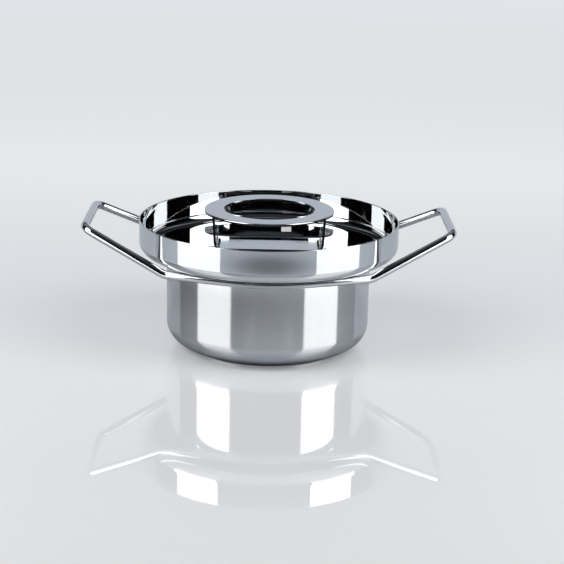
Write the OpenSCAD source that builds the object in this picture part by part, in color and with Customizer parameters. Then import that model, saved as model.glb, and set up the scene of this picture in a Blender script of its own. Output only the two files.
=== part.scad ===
/* [Pot] */
// Outer diameter of the straight body
body_d = 200; // [180:1:208]
// Height of the rim above the table
rim_z = 126.5; // [116:0.5:160]
// Height of the shoulder's underside above the table
shoulder_z = 94.4; // [84:0.2:104]
// Outer diameter of the collar above the shoulder
collar_d = 254; // [246:1:290]
// Thickness of the steel sheet of the pot
sheet_t = 1.2; // [0.8:0.1:1.6]
// Outer radius between the body's wall and its floor
floor_r = 21; // [12:1:24]
// Outer radius between the shoulder and the collar's wall
collar_r = 10; // [6:0.5:14]
// Radius of the hollow under the shoulder, where the handle rod nests
shoulder_r = 6; // [5:0.2:8]

/* [Base] */
// Step in from the edge of the pot's flat floor to the edge of the base
base_step = 1; // [0.5:0.5:15]
// Thickness of the aluminium core
core_t = 2.5; // [1.5:0.1:5]
// Thickness of the steel cap around the core
cap_t = 0.5; // [0.4:0.1:0.8]
// Radius of the cap's lower edge
cap_r = 1.5; // [1:0.1:1.8]

/* [Handle rods] */
// Diameter of the handle rod
rod_d = 8; // [6:0.5:9]
// Gap between the rod and the body's wall, filled only at the welds
rod_gap = 0.1; // [0.05:0.05:0.4]
// Angle in plan between the rod's straight stretch and the line across both handles
sweep_a = 18.5; // [14:0.5:22]
// How far inside the line of the collar's wall the rod starts to rise
rise_in = 3; // [1:0.5:6]
// Room for the hand between the collar's wall and the grip
hand_gap = 44; // [34:1:70]
// Height of the middle of the grip above the table
grip_z = 126; // [110:1:145]
// Centre-line radius of the bend where the rod starts to rise
rise_r = 22; // [12:1:40]
// Centre-line radius of the two bends beside the grip
grip_r = 13; // [9:0.5:16]
// Angle around the pot from the butt weld to the middle of a seat weld
seat_weld_a = 10; // [8:0.5:11]
// Length along the body of one seat weld, between rod and shoulder
seat_weld_l = 22; // [10:1:26]
// Height of a seat weld's lower edge above the middle of the rod
seat_weld_rise = 1.8; // [1.2:0.1:2.4]
// Thickness of the butt weld that joins the two rods
butt_weld_t = 1; // [0.6:0.1:2]

/* [Lid] */
// Thickness of the lid's plate
lid_t = 1.5; // [1:0.1:3]
// Sideways play between the lid's flat underside and the seat
lid_gap = 0.3; // [0.2:0.1:1]

/* [Lid handle] */
// Outer diameter of the ring
ring_d = 127; // [110:1:140]
// Diameter of the hole in the ring
ring_hole_d = 89; // [70:1:96]
// Thickness of the ring
ring_t = 2.5; // [2:0.1:4]
// Height of the ring's top above the rim
ring_rise = 9.3; // [4:0.1:20]
// Thickness of the bracket's strip
strip_t = 2.5; // [1.5:0.1:3]
// Width of the bracket's strip
strip_w = 36; // [24:1:44]
// Outward lean of the bracket's legs, in degrees
leg_lean = 3; // [0:0.5:6]
// Inner radius of the bracket's two bends
strip_r = 6; // [3:0.5:9]
// Diameter of one spot weld between bracket and lid
spot_d = 5; // [4:0.5:6]
// Distance between spot welds along the bracket's foot
spot_pitch_x = 60; // [30:1:66]
// Distance between spot welds across the bracket's foot
spot_pitch_y = 20; // [12:1:24]
// Leg length of the fillet welds under the ring
fillet_s = 1.5; // [1:0.1:2.5]
// Radius of the fillet welds' hollow face
fillet_hollow_r = 1.2; // [0.8:0.1:1.2]

/* [Hidden] */
$fn = 128;
steel = [0.80, 0.81, 0.83];
satin_steel = [0.70, 0.71, 0.73];
aluminium = [0.62, 0.63, 0.65];
weld_grey = [0.58, 0.58, 0.60];
overlap = 1;                                  // how far a cutter runs past what it cuts

// Pot
base_t = core_t + cap_t;
base_r = body_d/2 - floor_r - base_step;
seat_z = shoulder_z + sheet_t;                // upper face of the shoulder, where the lid lies
seat_flat_r = collar_d/2 - collar_r;          // outer radius of the shoulder's flat part

// Handle rods
rod_r = rod_d/2;
rod_path_r = body_d/2 + rod_gap + rod_r;      // radius of the rod's centre line along the body
rod_z = shoulder_z - shoulder_r;              // the rod lies level with the centre of the hollow
rod_sides = 28;
arc_steps = 6;
rise_steps = 5;
grip_steps = 12;
rise_l = sqrt(pow(collar_d/2 - rise_in, 2) - pow(rod_path_r, 2));  // straight stretch before the rise
grip_x = collar_d/2 + hand_gap + rod_r;       // from the pot's axis to the middle of the grip
butt_a = butt_weld_t/2/rod_path_r*180/PI;     // half the butt weld's angle around the pot
seat_weld_half_a = min(seat_weld_l/2/rod_path_r*180/PI, sweep_a - seat_weld_a);
weld_play = 0.06;                             // keeps a seat weld off the flats of the rod

// Lid
lid_edge_r = lid_t/2;
lid_r = seat_flat_r - lid_gap + lid_edge_r;
lid_top_z = seat_z + lid_t;

// Lid handle
ring_z = rim_z + ring_rise - ring_t;          // underside of the ring
ring_mid_r = (ring_d + ring_hole_d)/4;
leg_top_x = ring_mid_r;                       // the legs carry the ring at the middle of its width
foot_z = lid_top_z;
strip_bend_r = strip_r + strip_t/2;           // to the middle of the strip
bend_z = foot_z + strip_t + strip_r;          // centre height of the bracket's bends
bend_steps = 12;
// The middle of the leg passes leg_top_x at the ring and leans inward below it
bend_x = leg_top_x - (ring_z - bend_z)*tan(leg_lean) - strip_bend_r/cos(leg_lean);
spot_x = [-spot_pitch_x/2, spot_pitch_x/2];
spot_y = [-spot_pitch_y/2, spot_pitch_y/2];

function unit(v) = v/norm(v);
function arc_point(r, a, z) = [r*cos(a), r*sin(a), z];

// Points along a bend of centre-line radius r at corner p, from direction u to direction v
function bend_points(p, u, v, r, steps) =
  let (turn = acos(u*v), reach = r*tan(turn/2), side = unit(v - u*(u*v)))
  let (centre = p - u*reach + side*r)
  [for (i = [0:steps]) centre + r*(u*sin(turn*i/steps) - side*cos(turn*i/steps))];

// Face of the bracket seen from the front: round the bend at radius r, then up the leg to the ring
function bracket_face(r) = concat(
  [for (i = [0:bend_steps])
    let (a = (90 - leg_lean)*i/bend_steps - 90) [bend_x + r*cos(a), bend_z + r*sin(a)]],
  [[bend_x + r/cos(leg_lean) + (ring_z - bend_z)*tan(leg_lean), ring_z]]
);
function backwards(path) = [for (i = [len(path) - 1:-1:0]) path[i]];
function mirrored(path) = [for (p = backwards(path)) [-p[0], p[1]]];
bracket_half = concat(bracket_face(strip_r + strip_t), backwards(bracket_face(strip_r)));

// One handle's centre line, from the front butt weld round the grip to the back butt weld
leave_p = arc_point(rod_path_r, sweep_a - 90, rod_z);
along = [cos(sweep_a), sin(sweep_a), 0];
rise_p = leave_p + along*rise_l;
grip_p = [grip_x, (leave_p + along*((grip_x - leave_p[0])/along[0]))[1], grip_z];
climb = unit(grip_p - rise_p);
across = [0, 1, 0];
front_half = concat(
  [for (i = [0:arc_steps]) arc_point(rod_path_r, butt_a - 90 + (sweep_a - butt_a)*i/arc_steps, rod_z)],
  bend_points(rise_p, along, climb, rise_r, rise_steps),
  bend_points(grip_p, climb, across, grip_r, grip_steps)
);
rod_path = concat(front_half, [for (p = backwards(front_half)) [p[0], -p[1], p[2]]]);
rod_start_dir = [cos(butt_a), sin(butt_a), 0];

function path_dir(path, i, first) =
  i == 0 ? first
  : i == len(path) - 1 ? [-first[0], first[1], first[2]]
  : unit(unit(path[i] - path[i - 1]) + unit(path[i + 1] - path[i]));

// Ring of points around centre line point i, square to the path
function rod_ring(path, i, first) =
  let (d = path_dir(path, i, first), side = unit(cross(d, [0, 0, 1])), up = cross(side, d))
  [for (k = [0:rod_sides - 1]) path[i] + rod_r*(side*cos(360*k/rod_sides) + up*sin(360*k/rod_sides))];

module swept_rod(path, first) {
  last = len(path) - 1;
  points = [for (i = [0:last]) each rod_ring(path, i, first)];
  walls = [
    for (i = [0:last - 1], k = [0:rod_sides - 1])
      let (a = i*rod_sides + k, b = i*rod_sides + (k + 1)%rod_sides)
      each [[a, b, b + rod_sides], [a, b + rod_sides, a + rod_sides]]
  ];
  start_cap = [for (k = [0:rod_sides - 1]) rod_sides - 1 - k];
  end_cap = [for (k = [0:rod_sides - 1]) last*rod_sides + k];
  polyhedron(points, concat(walls, [start_cap, end_cap]));
}

// Half of a flat-floored round form, with its lower outer edge rounded
module rounded_floor(r, z, top, edge) {
  translate([0, z + edge]) square([r, top - z - edge]);
  translate([0, z]) square([r - edge, edge + overlap]);
  translate([r - edge, z + edge]) circle(edge);
}

// Half outline of the pot, moved inward by one sheet thickness for its inside
module pot_outline(inset, top) {
  rounded_floor(body_d/2 - inset, base_t + inset, shoulder_z, floor_r - inset);
  rounded_floor(collar_d/2 - inset, shoulder_z + inset, top, collar_r - inset);
  difference() {
    translate([0, shoulder_z - shoulder_r])
      square([body_d/2 + shoulder_r, shoulder_r + inset + overlap]);
    translate([body_d/2 + shoulder_r, shoulder_z - shoulder_r]) circle(shoulder_r + inset);
  }
}

// Cut the half plane left of the axis away, so that an outline can be turned
module right_half(reach) {
  intersection() {
    children();
    translate([0, -overlap]) square([reach, reach]);
  }
}

module pot_shell() {
  color(steel)
    rotate_extrude()
      right_half(collar_d)
        difference() {
          union() {
            pot_outline(0, rim_z - sheet_t/2);
            translate([collar_d/2 - sheet_t/2, rim_z - sheet_t/2]) circle(sheet_t/2);
          }
          pot_outline(sheet_t, rim_z + overlap);
        }
}

module base_core() {
  color(aluminium) translate([0, 0, cap_t]) cylinder(r = base_r - cap_t, h = core_t);
}

module base_cap() {
  color(satin_steel)
    difference() {
      rotate_extrude() right_half(body_d) rounded_floor(base_r, 0, base_t, cap_r);
      translate([0, 0, cap_t]) cylinder(r = base_r - cap_t, h = core_t + overlap);
    }
}

module handle_right() {
  color(steel) swept_rod(rod_path, rod_start_dir);
}

module handle_left() {
  mirror([1, 0, 0]) handle_right();
}

// Beads in the hollow between rod and shoulder, two at the front and two at the back
module handle_seat_welds() {
  color(weld_grey)
    for (face = [-90, 90], side = [-1, 1])
      translate([0, 0, rod_z])
        rotate([0, 0, face + side*seat_weld_a - seat_weld_half_a])
          rotate_extrude(angle = 2*seat_weld_half_a)
            difference() {
              intersection() {
                translate([body_d/2 + shoulder_r, 0]) circle(shoulder_r - weld_play);
                translate([body_d/2, seat_weld_rise]) square([rod_r, shoulder_r]);
              }
              translate([rod_path_r, 0]) circle(rod_r + weld_play);
            }
}

module handle_butt_welds() {
  color(weld_grey)
    for (face = [-90, 90])
      translate([0, 0, rod_z])
        rotate([0, 0, face - butt_a])
          rotate_extrude(angle = 2*butt_a) translate([rod_path_r, 0]) circle(rod_r);
}

// Something at each spot weld of the bracket's foot
module at_spots() {
  for (x = spot_x, y = spot_y) translate([x, y, 0]) children();
}

module lid_plate() {
  color(steel)
    difference() {
      rotate_extrude()
        right_half(collar_d) {
          translate([0, seat_z]) square([lid_r - lid_edge_r, lid_t]);
          translate([lid_r - lid_edge_r, seat_z + lid_edge_r]) circle(lid_edge_r);
        }
      at_spots() translate([0, 0, seat_z - overlap]) cylinder(d = spot_d, h = lid_t + 2*overlap);
    }
}

module lid_bracket() {
  color(steel)
    difference() {
      translate([0, strip_w/2, 0])
        rotate([90, 0, 0])
          linear_extrude(strip_w) polygon(concat(bracket_half, mirrored(bracket_half)));
      at_spots() translate([0, 0, foot_z - overlap]) cylinder(d = spot_d, h = strip_t + 2*overlap);
    }
}

module lid_spot_welds() {
  color(weld_grey)
    at_spots() translate([0, 0, seat_z]) cylinder(d = spot_d, h = lid_t + strip_t);
}

module lid_ring() {
  color(satin_steel)
    translate([0, 0, ring_z])
      difference() {
        cylinder(d = ring_d, h = ring_t);
        translate([0, 0, -overlap]) cylinder(d = ring_hole_d, h = ring_t + 2*overlap);
      }
}

// Concave fillets in the inner corners between the bracket's legs and the ring
module ring_fillet_welds() {
  leg_inner_x = leg_top_x - strip_t/2/cos(leg_lean);
  color(weld_grey)
    for (side = [0, 1])
      mirror([side, 0, 0])
        translate([0, strip_w/2, 0])
          rotate([90, 0, 0])
            linear_extrude(strip_w)
              difference() {
                translate([leg_inner_x - fillet_s, ring_z - fillet_s]) square(fillet_s);
                translate([leg_inner_x - fillet_s, ring_z - fillet_s]) circle(fillet_hollow_r);
                polygon([[leg_inner_x, ring_z], [leg_inner_x + overlap, ring_z],
                         [leg_inner_x + overlap, ring_z - fillet_s],
                         [leg_inner_x - fillet_s*tan(leg_lean), ring_z - fillet_s]]);
              }
}

pot_shell();
base_core();
base_cap();
handle_left();
handle_right();
handle_seat_welds();
handle_butt_welds();
lid_plate();
lid_bracket();
lid_spot_welds();
lid_ring();
ring_fillet_welds();
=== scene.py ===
import math

import bpy
from mathutils import Matrix, Vector


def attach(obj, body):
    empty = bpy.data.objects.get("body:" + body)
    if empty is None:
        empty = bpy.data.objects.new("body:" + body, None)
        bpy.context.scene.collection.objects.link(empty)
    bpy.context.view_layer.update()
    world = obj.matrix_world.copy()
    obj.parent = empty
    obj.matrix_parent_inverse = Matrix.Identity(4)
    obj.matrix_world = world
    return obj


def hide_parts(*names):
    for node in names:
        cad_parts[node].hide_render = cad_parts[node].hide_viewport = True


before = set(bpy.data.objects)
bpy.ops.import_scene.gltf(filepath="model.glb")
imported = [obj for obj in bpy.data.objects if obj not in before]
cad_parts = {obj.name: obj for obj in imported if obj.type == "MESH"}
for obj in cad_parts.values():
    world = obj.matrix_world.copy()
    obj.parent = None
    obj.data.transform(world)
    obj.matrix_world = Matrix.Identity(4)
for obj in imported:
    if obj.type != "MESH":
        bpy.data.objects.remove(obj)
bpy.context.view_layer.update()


cameraSpec = {
    "lens": 95.03,
    "sensor": 36.0,
    "place": (0.0, -1.4192, 0.4707),
    "downTilt": math.radians(16.08),
    "yaw": math.radians(0.56),
    "roll": math.radians(1.28),  # the right side sits a little lower in the frame
    "clipEnd": 60.0,
}


def makeCamera():
    data = bpy.data.cameras.new("camera")
    data.lens = cameraSpec["lens"]
    data.sensor_width = cameraSpec["sensor"]
    data.clip_end = cameraSpec["clipEnd"]
    camera = bpy.data.objects.new("camera", data)
    bpy.context.scene.collection.objects.link(camera)
    camera.matrix_world = (
        Matrix.Translation(cameraSpec["place"])
        @ Matrix.Rotation(-cameraSpec["yaw"], 4, "Z")
        @ Matrix.Rotation(math.pi / 2 - cameraSpec["downTilt"], 4, "X")
        @ Matrix.Rotation(cameraSpec["roll"], 4, "Z")
    )
    bpy.context.scene.camera = camera


makeCamera()
bpy.context.scene.view_settings.view_transform = "Standard"
print("camera set")


class Wire:
    # a node socket that takes part in plain arithmetic
    def __init__(self, shader, socket):
        self.shader = shader
        self.socket = socket

    def math(self, operation, first, second=0.0):
        return self.shader.node("ShaderNodeMath", {"operation": operation}, {0: first, 1: second})

    def __add__(self, other):
        return self.math("ADD", self, other)

    def __sub__(self, other):
        return self.math("SUBTRACT", self, other)

    def __mul__(self, other):
        return self.math("MULTIPLY", self, other)

    def __truediv__(self, other):
        return self.math("DIVIDE", self, other)

    def __pow__(self, other):
        return self.math("POWER", self, other)

    def __rsub__(self, other):
        return self.math("SUBTRACT", other, self)

    def __rtruediv__(self, other):
        return self.math("DIVIDE", other, self)

    def __neg__(self):
        return self.math("MULTIPLY", self, -1.0)

    __radd__ = __add__
    __rmul__ = __mul__

    def absolute(self):
        return self.math("ABSOLUTE", self)


class Shader:
    # the node tree of one material or of the world
    def __init__(self, tree):
        self.tree = tree
        tree.nodes.clear()

    def node(self, kind, settings=None, values=None, output=0):
        made = self.tree.nodes.new(kind)
        for name, value in (settings or {}).items():
            if name == "stops":
                self.setStops(made.color_ramp, value)
            else:
                setattr(made, name, value)
        for name, value in (values or {}).items():
            self.feed(made.inputs[name], value)
        return Wire(self, made.outputs[output]) if made.outputs else made

    def setStops(self, ramp, stops):
        while len(ramp.elements) > 1:
            ramp.elements.remove(ramp.elements[0])
        for number, (place, colour) in enumerate(stops):
            element = ramp.elements[0] if number == 0 else ramp.elements.new(place)
            element.position = place
            element.color = (*colour, 1.0)

    def feed(self, socket, value):
        if isinstance(value, Wire):
            self.tree.links.new(value.socket, socket)
        elif socket.type == "RGBA":
            socket.default_value = (*value, 1.0)
        else:
            socket.default_value = value

    def axes(self, vector):
        parts = self.node("ShaderNodeSeparateXYZ", {}, {0: vector})
        outputs = parts.socket.node.outputs
        return [Wire(self, outputs[number]) for number in range(3)]

    def ramp01(self, value, start, end):
        # 0 before start, 1 after end, smooth between them
        return self.node("ShaderNodeMapRange", {"interpolation_type": "SMOOTHSTEP"},
                         {"Value": value, "From Min": start, "From Max": end})

    def band(self, value, low, high, soft):
        rise = self.ramp01(value, low - soft, low + soft)
        fall = self.ramp01(value, high - soft, high + soft)
        return rise * (1 - fall)

    def mixColour(self, factor, first, second):
        return self.node("ShaderNodeMix", {"data_type": "RGBA"},
                         {0: factor, 6: first, 7: second}, output=2)

    def addColour(self, first, second, strength):
        alike = self.node("ShaderNodeCombineXYZ", {}, {0: strength, 1: strength, 2: strength})
        return self.node("ShaderNodeVectorMath", {"operation": "MULTIPLY_ADD"},
                         {0: second, 1: alike, 2: first})

    def tint(self, colour, strength):
        return self.node("ShaderNodeVectorMath", {"operation": "SCALE"}, {0: colour, "Scale": strength})

    def noise(self, vector, scale, detail):
        return self.node("ShaderNodeTexNoise", {}, {"Vector": vector, "Scale": scale, "Detail": detail})

    def stretch(self, vector, factors):
        return self.node("ShaderNodeVectorMath", {"operation": "MULTIPLY"}, {0: vector, 1: factors})

    def distance(self, x, y):
        return (x * x + y * y) ** 0.5

    def patch(self, x, y, place, reach, soft):
        # an oval patch, 1 in its middle and 0 outside
        wide, deep = reach
        across, along = (x - place[0]) / wide, (y - place[1]) / deep
        return 1 - self.ramp01(self.distance(across, along), *soft)


studio = {
    "dark": (0.0015, 0.0015, 0.002),
    "overhead": (0.045, 0.045, 0.048),
    "overheadFrom": (30.0, 55.0),
    "backdrop": (0.57, 0.61, 0.675),
    "backdropFrom": 117.0,        # degrees round from the camera's side
    "backdropEdge": 0.6,
    "backdropHigh": (-90.0, 24.0, 3.0),  # (from, to, softness) in degrees above the horizon
    "aboveBackdrop": (0.26, 0.27, 0.285),
    "aboveTurn": 20.0,
    "aboveFrom": (25.0, 45.0),
    "seen": (0.75, 0.76, 0.78),   # the backdrop as the camera sees it
}


def makeStudio():
    world = bpy.data.worlds.new("studio")
    bpy.context.scene.world = world
    world.use_nodes = True
    shader = Shader(world.node_tree)
    direction = shader.node("ShaderNodeTexCoord", output="Generated")
    x, y, z = shader.axes(direction)
    turn = (x.math("ARCTAN2", x, -y) * (180 / math.pi)).absolute()
    height = z.math("ARCSINE", z) * (180 / math.pi)
    start, edge = studio["backdropFrom"], studio["backdropEdge"]
    overhead = shader.ramp01(height, *studio["overheadFrom"])
    above = (shader.ramp01(turn, start - edge, start + studio["aboveTurn"])
             * shader.ramp01(height, *studio["aboveFrom"]))
    backdrop = (shader.ramp01(turn, start - edge, start + edge)
                * shader.band(height, *studio["backdropHigh"]))
    light = shader.mixColour(overhead, studio["dark"], studio["overhead"])
    light = shader.mixColour(above, light, studio["aboveBackdrop"])
    light = shader.mixColour(backdrop, light, studio["backdrop"])
    seen = shader.node("ShaderNodeLightPath", output="Is Camera Ray")
    colour = shader.mixColour(seen, light, studio["seen"])
    background = shader.node("ShaderNodeBackground", {}, {"Color": colour})
    shader.node("ShaderNodeOutputWorld", {}, {"Surface": background})


softbox = {
    "front": (0.72, -0.865),      # the upright edge nearest the camera, on the right
    "back": (1.35, -0.184),
    "top": 2.1,
    "radiance": 3.6,
}
smallLamps = {
    "places": ((0.572, -1.362, 0.425), (-0.426, -1.413, 0.425), (-0.426, -1.413, 0.513)),
    "aim": (0.0, 0.0, 0.1),
    "size": (0.25, 0.019),
    "radiance": 1.6,
    "tint": (1.0, 0.95, 0.9),
}


def makeLamp(name, place, target, size, radiance, tint=(1.0, 1.0, 1.0)):
    # a flat lamp that shines from place towards target and stays out of the picture
    data = bpy.data.lights.new(name, "AREA")
    data.shape = "RECTANGLE"
    data.size, data.size_y = size
    data.energy = radiance * math.pi * size[0] * size[1]
    data.color = tint
    lamp = bpy.data.objects.new(name, data)
    bpy.context.scene.collection.objects.link(lamp)
    away = (Vector(place) - Vector(target)).normalized()
    side = Vector((0, 0, 1)).cross(away).normalized()
    turned = Matrix((side, away.cross(side), away)).transposed().to_4x4()
    lamp.matrix_world = Matrix.Translation(place) @ turned
    lamp.visible_camera = False


def makeLamps():
    (frontX, frontY), (backX, backY) = softbox["front"], softbox["back"]
    middleX, middleY, middleZ = (frontX + backX) / 2, (frontY + backY) / 2, softbox["top"] / 2
    wide = math.hypot(backX - frontX, backY - frontY)
    for name, side in (("softboxRight", 1), ("softboxLeft", -1)):
        place = (side * middleX, middleY, middleZ)
        target = (side * (middleX - (backY - frontY)), middleY + (backX - frontX), middleZ)
        makeLamp(name, place, target, (wide, softbox["top"]), softbox["radiance"])
    for number, place in enumerate(smallLamps["places"]):
        makeLamp(f"smallLamp{number}", place, smallLamps["aim"], smallLamps["size"],
                 smallLamps["radiance"], smallLamps["tint"])


paintedTableLight = {                  # the table as the steel mirrors it, with painted light and shade: dark close round the pot, lighter further out
    "colour": (0.84, 0.90, 0.97),
    "bright": ((0.0, 0.12), (0.083, 0.12), (0.097, 0.5), (0.115, 0.64), (0.15, 0.71), (0.19, 0.69),
               (0.26, 0.57), (0.33, 0.52), (0.38, 0.66), (0.45, 1.20)),  # (distance, brightness)
    "brightest": 2.0,             # stands for white in the ramp
    "closeTo": (0.32, 0.42),
    "behind": 0.14,
    "behindFrom": (0.06, 0.14),
    "aside": 0.45,
    "rearLoss": 0.20,
    "rearFrom": (0.0, 0.2),
    "shadePatchPlace": (0.01, 0.533),    # a painted dark patch in front, seen in the collar: sideways, and out from the pot
    "shadePatchReach": (0.295, 0.055),
    "shadePatchSoft": (0.2, 1.4),
    "shadePatchFrom": (0.1, 0.3),
    "shadePatchDepth": 0.56,
}


# paints the table's light and shade for reflections: painted shadow close round the pot, painted light
# further out and behind, a painted dark patch in front
def paintedMirrorLight(shader, x, y):
    spec = paintedTableLight
    spread = shader.distance(x, y)
    stops = [(place, (bright / spec["brightest"],) * 3) for place, bright in spec["bright"]]
    profile = shader.node("ShaderNodeValToRGB", {"stops": stops}, {0: spread}) * spec["brightest"]
    close = 1 - shader.ramp01(spread, *spec["closeTo"])
    aside = (shader.ramp01(y, *spec["behindFrom"]) * spec["behind"] + x * spec["aside"]) * close
    rear = 1 - shader.ramp01(y, *spec["rearFrom"]) * (1 - close) * spec["rearLoss"]
    gap = shader.patch(x, spread, spec["shadePatchPlace"], spec["shadePatchReach"], spec["shadePatchSoft"])
    gap = gap * shader.ramp01(-y, *spec["shadePatchFrom"])
    return (profile + aside) * rear * (1 - spec["shadePatchDepth"] * gap)


tableGlow = {                     # added for the camera alone, so that the table reads as pale, with painted light that grows towards the back and the far front
    "even": (0.114, 0.113, 0.115),
    "more": (                     # (glow, way, from, to): way 1 counts to the back, -1 to the front
        ((0.045, 0.048, 0.052), 1, -0.2, 0.16),
        ((0.205, 0.195, 0.18), 1, 0.10, 0.95),
        ((0.09, 0.09, 0.093), -1, 0.26, 0.5),
        ((0.40, 0.40, 0.40), -1, 0.7, 1.4),
    ),
    "shade": (0.012, 0.007, 0.0),  # painted shadow of the pot, taken away in front of it
    "shadePlace": (0.0, -0.24),
    "shadeReach": (0.12, 0.20),
    "shadeSoft": (0.6, 1.2),
}


def cameraGlow(shader, x, y):
    glow = tableGlow["even"]
    for more, way, start, end in tableGlow["more"]:
        glow = shader.addColour(glow, more, shader.ramp01(y * way, start, end))
    shaded = shader.patch(x, y, tableGlow["shadePlace"], tableGlow["shadeReach"],
                          tableGlow["shadeSoft"])
    return shader.addColour(glow, tableGlow["shade"], -shaded)


table = {
    "reach": 14.0,
    "colour": (0.80, 0.81, 0.815),
    "roughness": 0.008,
    "ior": 1.8,
    "dullPlace": (0.0, -0.20),    # a dull patch close in front keeps the small lamps off the body
    "dullReach": (0.11, 0.13),
    "dullSoft": (0.2, 1.3),
    "dullness": 0.25,
}


def tableFinish():
    material, shader = newShader("glossyTable")
    mirrored = shader.node("ShaderNodeLightPath", output="Is Glossy Ray")
    seen = shader.node("ShaderNodeLightPath", output="Is Camera Ray")
    x, y = shader.axes(shader.node("ShaderNodeTexCoord", output="Object"))[:2]
    paintedForSteel = shader.tint(paintedTableLight["colour"], paintedMirrorLight(shader, x, y))
    dull = shader.patch(x, y, table["dullPlace"], table["dullReach"], table["dullSoft"])
    surface = shader.node("ShaderNodeBsdfPrincipled", {}, {
        "Base Color": shader.mixColour(mirrored, table["colour"], paintedForSteel),
        "Roughness": dull * mirrored * table["dullness"] + table["roughness"],
        "IOR": table["ior"],
        "Emission Color": shader.tint(cameraGlow(shader, x, y), seen),
        "Emission Strength": 1.0,
    })
    shader.node("ShaderNodeOutputMaterial", {}, {"Surface": surface})
    return material


def makeTable():
    reach = table["reach"]
    corners = [(-reach, -reach, 0), (reach, -reach, 0), (reach, reach, 0), (-reach, reach, 0)]
    mesh = bpy.data.meshes.new("floor")
    mesh.from_pydata(corners, [], [(0, 1, 2, 3)])
    mesh.materials.append(tableFinish())
    floor = bpy.data.objects.new("floor", mesh)
    bpy.context.scene.collection.objects.link(floor)


def newShader(name):
    material = bpy.data.materials.new(name)
    material.use_nodes = True
    return material, Shader(material.node_tree)


makeStudio()
makeLamps()
makeTable()
print("studio, lamps and table set")


polish = {
    "hazeNoise": (26.0, 3.0),     # (scale, detail) of the slow drift in tone and roughness
    "haze": 0.01,                 # its share of the roughness
    "drift": 0.03,                # its share of the tone
    "lineNoise": (1900.0, 2.0),   # fine polishing lines
    "lineStretch": (1.0, 0.06, 1.0),
    "lines": 0.3,                 # their height
    "hairNoise": (700.0, 1.0),    # a few deeper hairlines
    "hairStretch": (0.02, 1.0, 1.0),
    "hairFrom": (0.70, 0.78),
    "hairRoughness": 0.01,
    "hairs": 0.4,                 # their depth
    "shadeTone": 0.12,             # share of the tone kept where shade is painted on a dark underside
    "shadeEdgeSoft": 0.0003,
}
relief = {"Strength": 0.03, "Distance": 0.0002}


def finish(material, shader, tone, rough, height):
    bump = shader.node("ShaderNodeBump", {}, {**relief, "Height": height})
    surface = shader.node("ShaderNodeBsdfPrincipled", {}, {
        "Base Color": tone, "Metallic": 1.0, "Roughness": rough, "Normal": bump})
    shader.node("ShaderNodeOutputMaterial", {}, {"Surface": surface})


def steel(name, own):
    # polished metal: own values stand in for those of polish
    spec = {**polish, **own}
    material, shader = newShader(name)
    place = shader.node("ShaderNodeTexCoord", output="Object")
    haze = shader.noise(place, *spec["hazeNoise"]) - 0.5
    lines = shader.noise(shader.stretch(place, spec["lineStretch"]), *spec["lineNoise"]) - 0.5
    hairs = shader.noise(shader.stretch(place, spec["hairStretch"]), *spec["hairNoise"])
    hairs = shader.ramp01(hairs, *spec["hairFrom"])
    rough = spec["roughness"] + haze * spec["haze"] + hairs * spec["hairRoughness"]
    tone = shader.tint(spec["tone"], 1 + haze * spec["drift"])
    # painted shade: below the given height the tone drops to a small share
    if "shadeBelow" in spec:
        height = shader.axes(place)[2]
        lit = shader.ramp01(height, spec["shadeBelow"], spec["shadeBelow"] + spec["shadeEdgeSoft"])
        tone = shader.tint(tone, spec["shadeTone"] + (1 - spec["shadeTone"]) * lit)
    finish(material, shader, tone, rough, lines * spec["lines"] - hairs * spec["hairs"])
    return material


finishes = {
    "mirror": steel("mirrorSteel", {"tone": (0.61, 0.625, 0.645), "roughness": 0.022, "haze": 0.008}),
    "strip": steel("stripSteel", {"tone": (0.60, 0.62, 0.645), "roughness": 0.09, "lines": 0.5}),
    # near-black tone for the bracket's cut sides: a painted dark reflection
    "paintedDarkSide": steel("paintedDarkSideSteel", {"tone": (0.035, 0.035, 0.04), "roughness": 0.3,
                              "haze": 0.1, "drift": 0.3}),
    "rod": steel("rodSteel", {"tone": (0.61, 0.62, 0.64), "roughness": 0.05, "haze": 0.02}),
    "weld": steel("weldSteel", {"tone": (0.58, 0.59, 0.61), "roughness": 0.12,
                                "haze": 0.1, "drift": 0.15}),
    "core": steel("coreAluminium", {"tone": (0.72, 0.72, 0.73), "roughness": 0.4, "lines": 3.0}),
}


def addPiece(name, mesh, body, material, replaced):
    mesh.materials.append(material)
    piece = bpy.data.objects.new(name, mesh)
    bpy.context.scene.collection.objects.link(piece)
    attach(piece, body)
    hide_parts(*replaced)


def arc(centre, radius, start, end, steps=10, hollow=False):
    # points of an outline with their outward normals, angles in degrees
    made = []
    for number in range(steps + 1):
        angle = math.radians(start + (end - start) * number / steps)
        across, up = math.cos(angle), math.sin(angle)
        sign = -1 if hollow else 1
        made.append((centre[0] + radius * across, centre[1] + radius * up, sign * across, sign * up))
    return made


def lathe(name, outline, sides=320, places=((0, 0),)):
    # turn an outline of (r, z, normal r, normal z) about an upright line at each place; r 0 closes it
    verts, normals, faces = [], [], []
    for placeX, placeY in places:
        rows = []
        for r, z, across, up in outline:
            turned = sides if r > 0 else 1
            rows.append(list(range(len(verts), len(verts) + turned)))
            for side in range(turned):
                angle = 2 * math.pi * side / turned
                verts.append((placeX + r * math.cos(angle), placeY + r * math.sin(angle), z))
                normals.append((across * math.cos(angle), across * math.sin(angle), up))
        pairs = list(zip(rows, rows[1:])) + ([(rows[-1], rows[0])] if outline[0][0] > 0 else [])
        for low, high in pairs:
            for side in range(sides):
                after = (side + 1) % sides
                corners = (low[side % len(low)], low[after % len(low)],
                           high[after % len(high)], high[side % len(high)])
                faces.append(list(dict.fromkeys(corners)))
    return smoothMesh(name, verts, faces, normals)


def smoothMesh(name, verts, faces, normals):
    mesh = bpy.data.meshes.new(name)
    mesh.from_pydata(verts, [], faces)
    mesh.shade_smooth()
    mesh.normals_split_custom_set_from_vertices([Vector(n).normalized() for n in normals])
    mesh.update()
    return mesh


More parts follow.
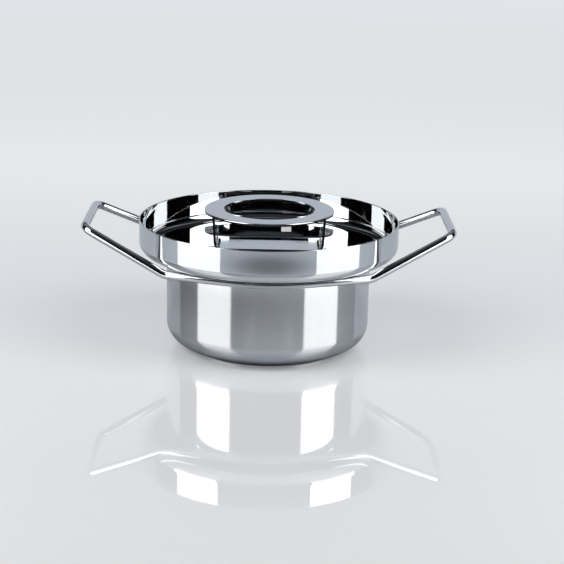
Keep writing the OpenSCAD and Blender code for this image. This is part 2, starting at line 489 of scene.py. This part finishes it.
def strip(name, outline, width, edge, steps=4):
    # a bent strip: the outline (x, z, normal x, normal z) runs across the width, its long edges rounded
    verts, normals, rows = [], [], []
    turns = [90 * number / steps for number in range(steps, -1, -1)]
    for end, angle in [(-1, turn) for turn in turns] + [(1, turn) for turn in reversed(turns)]:
        flat, out = math.cos(math.radians(angle)), math.sin(math.radians(angle))
        inset, y = edge * (1 - flat), end * (width / 2 - edge * (1 - out))
        rows.append([len(verts) + number for number in range(len(outline))])
        for x, z, across, up in outline:
            verts.append((x - across * inset, y, z - up * inset))
            normals.append((across * flat, end * out, up * flat))
    count = len(outline)
    faces = [tuple(rows[0]), tuple(reversed(rows[-1]))]
    for low, high in zip(rows, rows[1:]):
        for number in range(count):
            after = (number + 1) % count
            faces.append((low[after], low[number], high[number], high[after]))
    return smoothMesh(name, verts, faces, normals)


def sweep(name, path, radius, sides=40):
    # a round rod along path, closed at both ends
    verts, normals, faces = [], [], []
    last = len(path) - 1
    for number, point in enumerate(path):
        before, after = path[max(number - 1, 0)], path[min(number + 1, last)]
        along = ((point - before).normalized() + (after - point).normalized()).normalized()
        side = along.cross(Vector((0, 0, 1))).normalized()
        up = side.cross(along)
        for turn in range(sides):
            angle = 2 * math.pi * turn / sides
            outward = side * math.cos(angle) + up * math.sin(angle)
            verts.append(point + outward * radius)
            normals.append(outward)
    for number in range(last):
        for turn in range(sides):
            after = (turn + 1) % sides
            first = number * sides
            faces.append((first + turn, first + turn + sides, first + after + sides, first + after))
    faces.append(tuple(range(sides)))
    faces.append(tuple(last * sides + turn for turn in reversed(range(sides))))
    return smoothMesh(name, verts, faces, normals)


pot = {
    "bodyR": 0.100,
    "collarR": 0.127,
    "rimZ": 0.1265,
    "shoulderZ": 0.0944,
    "baseZ": 0.003,
    "sheet": 0.0012,
    "floorR": 0.021,
    "cornerR": 0.010,
    "hollowR": 0.006,
}


def potOutline():
    sheet, bodyR, collarR = pot["sheet"], pot["bodyR"], pot["collarR"]
    floor = (bodyR - pot["floorR"], pot["baseZ"] + pot["floorR"])
    hollow = (bodyR + pot["hollowR"], pot["shoulderZ"] - pot["hollowR"])
    corner = (collarR - pot["cornerR"], pot["shoulderZ"] + pot["cornerR"])
    rim = (collarR - sheet / 2, pot["rimZ"] - sheet / 2)
    return ([(0, pot["baseZ"], 0, -1)]
            + arc(floor, pot["floorR"], -90, 0, 16)
            + arc(hollow, pot["hollowR"], 180, 90, 10, hollow=True)
            + arc(corner, pot["cornerR"], -90, 0, 14)
            + arc(rim, sheet / 2, 0, 180, 8)
            + arc(corner, pot["cornerR"] - sheet, 0, -90, 14, hollow=True)
            + arc(hollow, pot["hollowR"] + sheet, 90, 180, 10)
            + arc(floor, pot["floorR"] - sheet, 0, -90, 16, hollow=True)
            + [(0, pot["baseZ"] + sheet, 0, 1)])


potFinish = {
    "bodyTone": (0.738, 0.738, 0.742),
    "collarTone": (0.58, 0.593, 0.608),
    "insideTone": (0.66, 0.67, 0.69),
    # painted highlight on the collar's lower corner
    "cornerHighlightTone": (0.79, 0.80, 0.81),
    # painted shade for the hollow behind the rods
    "hollowShadeTint": (0.055, 0.047, 0.04),
    "bodyRoughness": 0.095,
    "collarRoughness": 0.03,
    "insideRoughness": 0.26,
    "shoulderSoft": 0.002,
    "wallSoft": 0.0002,
    "cornerHighlightSoft": 0.0003,
    "cornerHighlightOut": (-0.0005, 0.0010),  # out and up from the middle of the corner's bend
    "cornerHighlightUp": (-0.0019, 0.0011),
    "hollowShadeUp": (-0.0059, 0.0006, 0.0005),  # (from, to, softness) up from the shoulder
    "hollowShadeOut": (0.0003, 0.0140, 0.0015),  # and out from the body
    "hollowShadeDepth": 0.93,
    "hazeNoise": (22.0, 3.0),     # (scale, detail)
    "hazeTone": 0.03,
    "turnedNoise": (900.0, 4.0),  # turning marks
    "turnedStretch": (0.03, 0.03, 1.0),
    "turnedTone": 0.06,
    "turnedHeight": 1.2,
    "streakNoise": (160.0, 2.0),  # upright streaks
    "streakStretch": (1.0, 1.0, 0.03),
    "streakTone": 0.05,
    "roughDrift": 0.012,
}


def potSteel():
    # mirror polish on the collar, a fine turned satin on the body, a duller inside
    spec = potFinish
    material, shader = newShader("potSteel")
    place = shader.node("ShaderNodeTexCoord", output="Object")
    x, y, z = shader.axes(place)
    spread = shader.distance(x, y)
    wallR = pot["bodyR"] - pot["sheet"] / 2
    below = 1 - shader.ramp01(z, pot["shoulderZ"] - spec["shoulderSoft"], pot["shoulderZ"])
    inside = (1 - shader.ramp01(spread, wallR - spec["wallSoft"], wallR)) * below
    body = below * (1 - inside)
    haze = shader.noise(place, *spec["hazeNoise"]) - 0.5
    turned = shader.noise(shader.stretch(place, spec["turnedStretch"]), *spec["turnedNoise"]) - 0.5
    streaks = shader.noise(shader.stretch(place, spec["streakStretch"]), *spec["streakNoise"]) - 0.5
    collarRough = spec["collarRoughness"]
    rough = (collarRough + body * (spec["bodyRoughness"] - collarRough)
             + inside * (spec["insideRoughness"] - collarRough)
             + (haze + streaks * body) * spec["roughDrift"])
    tone = shader.mixColour(body, spec["collarTone"], spec["bodyTone"])
    tone = shader.mixColour(inside, tone, spec["insideTone"])
    marks = (streaks * spec["streakTone"] + turned * spec["turnedTone"]) * body
    tone = shader.tint(tone, 1 + haze * spec["hazeTone"] + marks)
    # painted highlight: the collar's lower corner gets a brighter tone outside than the wall above it
    out = spread - (pot["collarR"] - pot["cornerR"])
    up = z - (pot["shoulderZ"] + pot["cornerR"])
    sheetR, soft = pot["cornerR"] - pot["sheet"] / 2, spec["cornerHighlightSoft"]
    corner = (shader.ramp01(shader.distance(out, up), sheetR - soft, sheetR + soft)
              * shader.ramp01(out, *spec["cornerHighlightOut"]) * (1 - shader.ramp01(up, *spec["cornerHighlightUp"])))
    tone = shader.mixColour(corner, tone, spec["cornerHighlightTone"])
    # painted shade: the hollow behind the rods, under the shoulder, is darkened almost to black
    hollowShade = (shader.band(z - pot["shoulderZ"], *spec["hollowShadeUp"])
            * shader.band(spread - pot["bodyR"], *spec["hollowShadeOut"]))
    tone = shader.mixColour(hollowShade * spec["hollowShadeDepth"], tone, spec["hollowShadeTint"])
    finish(material, shader, tone, rough, turned * below * spec["turnedHeight"])
    return material


addPiece("potShell", lathe("potShell", potOutline()), "pot", potSteel(), ["pot_shell"])
print("pot shell turned")


rods = {
    "radius": 0.004,
    "gap": 0.0001,
    "sweepAngle": math.radians(18.5),
    "riseIn": 0.003,
    "handGap": 0.044,
    "gripZ": 0.126,
    "riseBend": 0.022,
    "gripBend": 0.013,
    "buttWeld": 0.001,
    "bodySteps": 8,
    "riseSteps": 12,
    "gripSteps": 24,
}


def bend(corner, before, after, radius, steps):
    turn = before.angle(after)
    reach = radius * math.tan(turn / 2)
    side = (after - before * before.dot(after)).normalized()
    centre = corner - before * reach + side * radius
    return [centre + radius * (before * math.sin(turn * n / steps) - side * math.cos(turn * n / steps))
            for n in range(steps + 1)]


def handlePath():
    pathR = pot["bodyR"] + rods["gap"] + rods["radius"]
    level = pot["shoulderZ"] - pot["hollowR"]
    buttAngle = rods["buttWeld"] / 2 / pathR
    sweepAngle = rods["sweepAngle"]

    def around(angle):
        return Vector((pathR * math.sin(angle), -pathR * math.cos(angle), level))

    leave = around(sweepAngle)
    along = Vector((math.cos(sweepAngle), math.sin(sweepAngle), 0))
    rise = leave + along * math.sqrt((pot["collarR"] - rods["riseIn"]) ** 2 - pathR ** 2)
    gripX = pot["collarR"] + rods["handGap"] + rods["radius"]
    grip = leave + along * ((gripX - leave.x) / along.x)
    grip.z = rods["gripZ"]
    climb = (grip - rise).normalized()
    steps = rods["bodySteps"]
    half = ([around(buttAngle + (sweepAngle - buttAngle) * n / steps) for n in range(steps + 1)]
            + bend(rise, along, climb, rods["riseBend"], rods["riseSteps"])
            + bend(grip, climb, Vector((0, 1, 0)), rods["gripBend"], rods["gripSteps"]))
    return half + [Vector((p.x, -p.y, p.z)) for p in reversed(half)]


rightPath = handlePath()
leftPath = [Vector((-p.x, p.y, p.z)) for p in reversed(rightPath)]
for name, path, node in (("handleRight", rightPath, "handle_right"),
                         ("handleLeft", leftPath, "handle_left")):
    addPiece(name, sweep(name, path, rods["radius"]), "pot", finishes["rod"], [node])
print("handles bent")


lid = {
    "gap": 0.0003,                # its flat underside ends this far short of the pot's corner
    "thickness": 0.0015,
    "ringR": 0.0635,
    "holeR": 0.0445,
    "ringRise": 0.0093,           # from the rim up to the ring's top
    "ringT": 0.0025,
    "ringTopEdge": 0.0009,        # rounding of the ring's upper edges
    "ringLowEdge": 0.0003,
    "holeEdge": 0.00015,
    "shadeHeight": 0.0013,         # how far up the ring's edge the painted shade of its underside reaches
}
seatZ = pot["shoulderZ"] + pot["sheet"]
footZ = seatZ + lid["thickness"]
ringZ = pot["rimZ"] + lid["ringRise"] - lid["ringT"]


def plateOutline():
    half = lid["thickness"] / 2
    centre = (pot["collarR"] - pot["cornerR"] - lid["gap"], seatZ + half)
    return [(0, seatZ, 0, -1)] + arc(centre, half, -90, 90, 12) + [(0, footZ, 0, 1)]


def ringOutline():
    topEdge, lowEdge, holeEdge = lid["ringTopEdge"], lid["ringLowEdge"], lid["holeEdge"]
    inner, outer, low, high = lid["holeR"], lid["ringR"], ringZ, ringZ + lid["ringT"]
    return (arc((outer - lowEdge, low + lowEdge), lowEdge, -90, 0, 4)
            + arc((outer - topEdge, high - topEdge), topEdge, 0, 90, 8)
            + arc((inner + holeEdge, high - holeEdge), holeEdge, 90, 180, 4)
            + arc((inner + holeEdge, low + holeEdge), holeEdge, 180, 270, 4))


ringSteel = steel("ringSteel", {"tone": (0.60, 0.62, 0.645), "roughness": 0.05, "lines": 0.5,
                                "shadeBelow": ringZ + lid["shadeHeight"]})
addPiece("lidPlate", lathe("lidPlate", plateOutline()), "lid",
         finishes["mirror"], ["lid_plate"])
addPiece("lidRing", lathe("lidRing", ringOutline()), "lid", ringSteel, ["lid_ring"])
print("lid and ring turned")


bracket = {
    "thickness": 0.0025,
    "width": 0.036,
    "lean": 3.0,                  # the legs' outward lean, in degrees
    "bendR": 0.006,
    "edge": 0.00025,
    "topCorner": 0.0005,
}


def bracketOutline():
    # right half: under the foot, round the bend, up the leg, over its top and back down inside
    thick, bendR, corner = bracket["thickness"], bracket["bendR"], bracket["topCorner"]
    slant = math.radians(bracket["lean"])
    bendZ = footZ + thick + bendR
    legTopX = (lid["ringR"] + lid["holeR"]) / 2
    bendX = legTopX - (ringZ - bendZ) * math.tan(slant) - (bendR + thick / 2) / math.cos(slant)

    def legX(reach, z):
        return bendX + reach / math.cos(slant) + (z - bendZ) * math.tan(slant)

    topZ = ringZ - corner
    half = (arc((bendX, bendZ), bendR + thick, -90, -bracket["lean"], 14)
            + arc((legX(bendR + thick - corner, topZ), topZ), corner, -bracket["lean"], 90, 4)
            + arc((legX(bendR + corner, topZ), topZ), corner, 90, 180 - bracket["lean"], 4)
            + arc((bendX, bendZ), bendR, -bracket["lean"], -90, 14, hollow=True))
    return half + [(-x, z, -across, up) for x, z, across, up in reversed(half)]


bracketMesh = strip("lidBracket", bracketOutline(), bracket["width"], bracket["edge"])
addPiece("lidBracket", bracketMesh, "lid", finishes["strip"], ["lid_bracket"])
# the cut sides get the near-black tone of a painted dark reflection
bracketMesh.materials.append(finishes["paintedDarkSide"])
for polygon in bracketMesh.polygons:
    polygon.material_index = int(len(polygon.vertices) > 4)  # the two cut sides have many corners


spots = {
    "radius": 0.0025,
    "crown": 0.00003,             # how far a ground spot still stands proud
    "across": 0.030,
    "along": 0.010,
    "sides": 48,
}


def spotOutline():
    r, crown = spots["radius"], spots["crown"]
    ball = (r * r + crown * crown) / (2 * crown)
    lean = math.degrees(math.asin(r / ball))
    low = seatZ + ball - crown
    high = footZ + bracket["thickness"] + crown - ball
    return ([(0, seatZ - crown, 0, -1)] + arc((0, low), ball, -90 + lean / 3, -90 + lean, 2)
            + arc((0, high), ball, 90 - lean, 90 - lean / 3, 2) + [(0, high + ball, 0, 1)])


spotPlaces = [(x, y) for x in (-spots["across"], spots["across"])
              for y in (-spots["along"], spots["along"])]
addPiece("spotWelds", lathe("spotWelds", spotOutline(), spots["sides"], spotPlaces),
         "lid", finishes["strip"], ["lid_spot_welds"])
print("bracket bent and spot-welded")


base = {
    "step": 0.001,                # in from the edge of the pot's flat floor
    "edge": 0.0015,
    "sheet": 0.0005,
    "lip": 0.0001,
}
baseR = pot["bodyR"] - pot["floorR"] - base["step"]


def baseOutline():
    r, top = baseR, pot["baseZ"]
    edge, sheet, lip = base["edge"], base["sheet"], base["lip"]
    return ([(0, 0, 0, -1)] + arc((r - edge, edge), edge, -90, 0, 8)
            + arc((r - lip, top - lip), lip, 0, 90, 3)
            + arc((r - sheet + lip, top - lip), lip, 90, 180, 3)
            + [(r - sheet, sheet + lip, -1, 0), (r - sheet - lip, sheet, 0, 1), (0, sheet, 0, 1)])


baseFinish = {
    "tone": (0.56, 0.57, 0.59),
    "roughness": 0.26,
    "ringScale": 1500.0,          # marks of the lathe
    "ringTone": 0.12,
    "ringHeight": 3.0,
    "wornFrom": (-0.008, -0.0005),  # out from the base's edge
    "wornTone": 0.06,
    "wornRoughness": 0.06,
    "scuffNoise": (300.0, 3.0),
    "scuffStretch": (1.0, 0.05, 1.0),
    "scuffFrom": (0.6, 0.75),
    "scuffRoughness": 0.12,
}


def baseSteel():
    # concentric marks where the base was faced on a lathe, worn bright towards its edge
    spec = baseFinish
    material, shader = newShader("baseSteel")
    place = shader.node("ShaderNodeTexCoord", output="Object")
    x, y = shader.axes(place)[:2]
    spread = shader.distance(x, y)
    rings = shader.node("ShaderNodeTexNoise", {"noise_dimensions": "1D"},
                        {"W": spread, "Scale": spec["ringScale"]}) - 0.5
    scuffs = shader.noise(shader.stretch(place, spec["scuffStretch"]), *spec["scuffNoise"])
    scuffs = shader.ramp01(scuffs, *spec["scuffFrom"])
    worn = shader.ramp01(spread - baseR, *spec["wornFrom"])
    tone = shader.tint(spec["tone"], 1 + rings * spec["ringTone"] + worn * spec["wornTone"])
    rough = spec["roughness"] - worn * spec["wornRoughness"] + scuffs * spec["scuffRoughness"]
    finish(material, shader, tone, rough, rings * spec["ringHeight"] - scuffs)
    return material


addPiece("baseCap", lathe("baseCap", baseOutline()), "pot", baseSteel(), ["base_cap"])
print("base turned")


for node, name in (("base_core", "core"), ("handle_seat_welds", "weld"), ("handle_butt_welds", "rod"),
                   ("ring_fillet_welds", "weld")):
    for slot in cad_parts[node].material_slots:
        slot.material = finishes[name]
print("inner pieces and welds finished")
